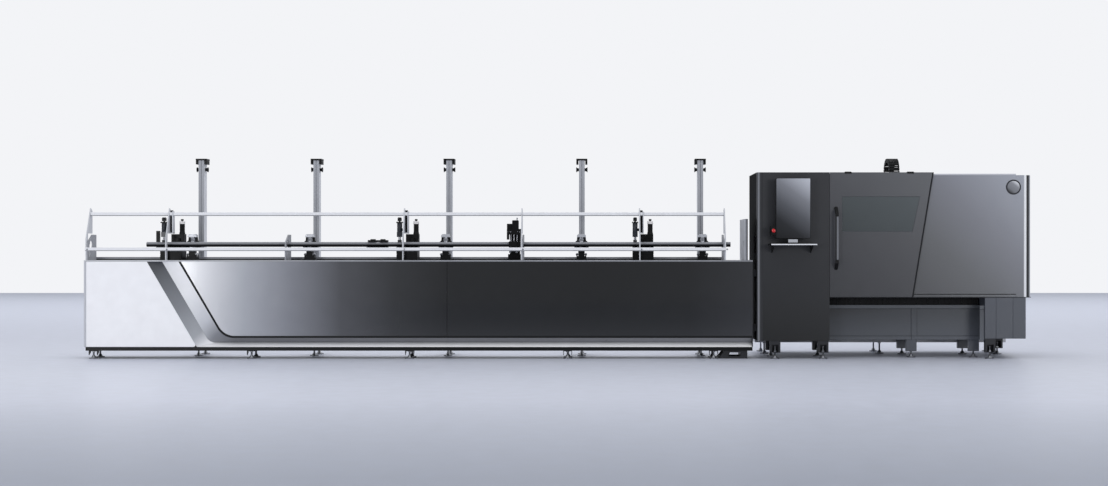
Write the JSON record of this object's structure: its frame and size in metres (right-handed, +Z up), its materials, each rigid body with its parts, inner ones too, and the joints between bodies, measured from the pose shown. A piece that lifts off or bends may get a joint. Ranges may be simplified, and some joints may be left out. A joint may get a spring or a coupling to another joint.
{
  "type": "fiber laser tube cutting machine",
  "caption": "Fiber laser tube cutting line: a long loading bed with tube supports and clamps feeds a stock tube through a chuck into an enclosed cutting cabin with a sliding door and touch screen.",
  "frame": {"origin": "on the floor, at the bottom centre of the machine's box", "axes": "+X runs along the line from the loading bed to the cutting cabin, +Y points from the operator's side to the back, +Z is up"},
  "size_m": [9.97, 1.54, 2.138],
  "materials": {
    "white_paint": "satin powder coat",
    "light_grey": "satin powder coat",
    "mid_grey": "satin powder coat",
    "slate_grey": "satin powder coat",
    "charcoal": "satin powder coat",
    "dark_grey": "fine textured paint",
    "black_paint": "satin paint",
    "gloss_black": "high gloss lacquer",
    "silver_paint": "metallic lacquer",
    "black_anodised": "black anodised",
    "steel": "brushed",
    "tube_steel": "mill finish",
    "window_glass": "dark tinted laser safety pane",
    "white_trim": "matte",
    "black_plastic": "matte",
    "red_plastic": "gloss"
  },
  "bodies": {
    "line": {"back_wall": "light_grey", "badge_disc": "dark_grey", "bed_back_panel": "white_paint", "bed_base_tray": "black_paint", "bed_deck": "light_grey", "bed_end_panel": "dark_grey", "bed_frame": "dark_grey", "cable_chain": "black_plastic", "catch_bin": "slate_grey", "chamber_floor": "dark_grey", "chuck_housing": "dark_grey", "clamp_units": "black_anodised", "column_caps": "black_paint", "columns": "mid_grey", "door_rails": "steel", "end_side_cover": "light_grey", "end_stand": "dark_grey", "entry_guide": "dark_grey", "fascia_panel_left": "gloss_black", "fascia_panel_right": "gloss_black", "fence_fins": "dark_grey", "fence_posts": "dark_grey", "fence_rails": "light_grey", "front_cover": "charcoal", "gantry_beam": "mid_grey", "guide_rail": "steel", "keyboard_shelf": "black_paint", "left_wall": "black_paint", "levelling_feet": "steel", "machine_base": "dark_grey", "machine_legs": "dark_grey", "rear_cabinet": "light_grey", "right_base_cabinet": "slate_grey", "right_panel": "mid_grey", "right_wall": "mid_grey", "roof": "mid_grey", "screen_mount": "black_paint", "silver_channel": "silver_paint", "stock_tube": "tube_steel", "support_bases": "black_anodised", "tube_rest": "black_anodised", "white_end_cover": "white_paint"},
    "door": {"sliding_door": "charcoal", "door_window": "window_glass", "door_runners": "steel", "door_handle": "dark_grey"},
    "screen": {"touch_screen": "dark_grey"},
    "stop": {"stop_button": "red_plastic"},
    "chuck": {"front_chuck": "steel"},
    "gripper": {"feed_gripper": "black_anodised"},
    "carriage": {"cutting_carriage": "mid_grey"},
    "head": {"cutting_head": "black_anodised"},
    "support_1": {"support_head_1": "black_anodised"},
    "support_2": {"support_head_2": "black_anodised"},
    "support_3": {"support_head_3": "black_anodised"},
    "support_4": {"support_head_4": "black_anodised"},
    "support_5": {"support_head_5": "black_anodised"},
    "press_1": {"clamp_press_1": "steel"},
    "press_2": {"clamp_press_2": "steel"},
    "press_3": {"clamp_press_3": "steel"}
  },
  "joints": [
    {"name": "door_slide", "type": "slide", "parent": "line", "child": "door", "axis": [1, 0, 0], "range_m": [0, 0.86]},
    {"name": "screen_turn", "type": "hinge", "parent": "line", "child": "screen", "pos_m": [2.461, -0.589, 1.56], "axis": [0, 0, 1], "range_deg": [0, 20]},
    {"name": "stop_press", "type": "slide", "parent": "line", "child": "stop", "axis": [0, 1, 0], "range_m": [0, 0.004], "stiffness_N_per_m": 2000},
    {"name": "chuck_spin", "type": "hinge", "parent": "line", "child": "chuck", "pos_m": [2.4, -0.35, 1.204], "axis": [1, 0, 0], "continuous": true},
    {"name": "gripper_feed", "type": "slide", "parent": "line", "child": "gripper", "axis": [1, 0, 0], "range_m": [-0.55, 0]},
    {"name": "carriage_feed", "type": "slide", "parent": "line", "child": "carriage", "axis": [1, 0, 0], "range_m": [-0.1, 1.5]},
    {"name": "head_lift", "type": "slide", "parent": "carriage", "child": "head", "axis": [0, 0, 1], "range_m": [-0.03, 0.18]},
    {"name": "support_drop_1", "type": "slide", "parent": "line", "child": "support_1", "axis": [0, 0, 1], "range_m": [-0.03, 0]},
    {"name": "support_drop_2", "type": "slide", "parent": "line", "child": "support_2", "axis": [0, 0, 1], "range_m": [-0.03, 0]},
    {"name": "support_drop_3", "type": "slide", "parent": "line", "child": "support_3", "axis": [0, 0, 1], "range_m": [-0.03, 0]},
    {"name": "support_drop_4", "type": "slide", "parent": "line", "child": "support_4", "axis": [0, 0, 1], "range_m": [-0.03, 0]},
    {"name": "support_drop_5", "type": "slide", "parent": "line", "child": "support_5", "axis": [0, 0, 1], "range_m": [-0.03, 0]},
    {"name": "press_lift_1", "type": "slide", "parent": "line", "child": "press_1", "axis": [0, 0, 1], "range_m": [0, 0.025]},
    {"name": "press_lift_2", "type": "slide", "parent": "line", "child": "press_2", "axis": [0, 0, 1], "range_m": [0, 0.025]},
    {"name": "press_lift_3", "type": "slide", "parent": "line", "child": "press_3", "axis": [0, 0, 1], "range_m": [0, 0.025]}
  ]
}
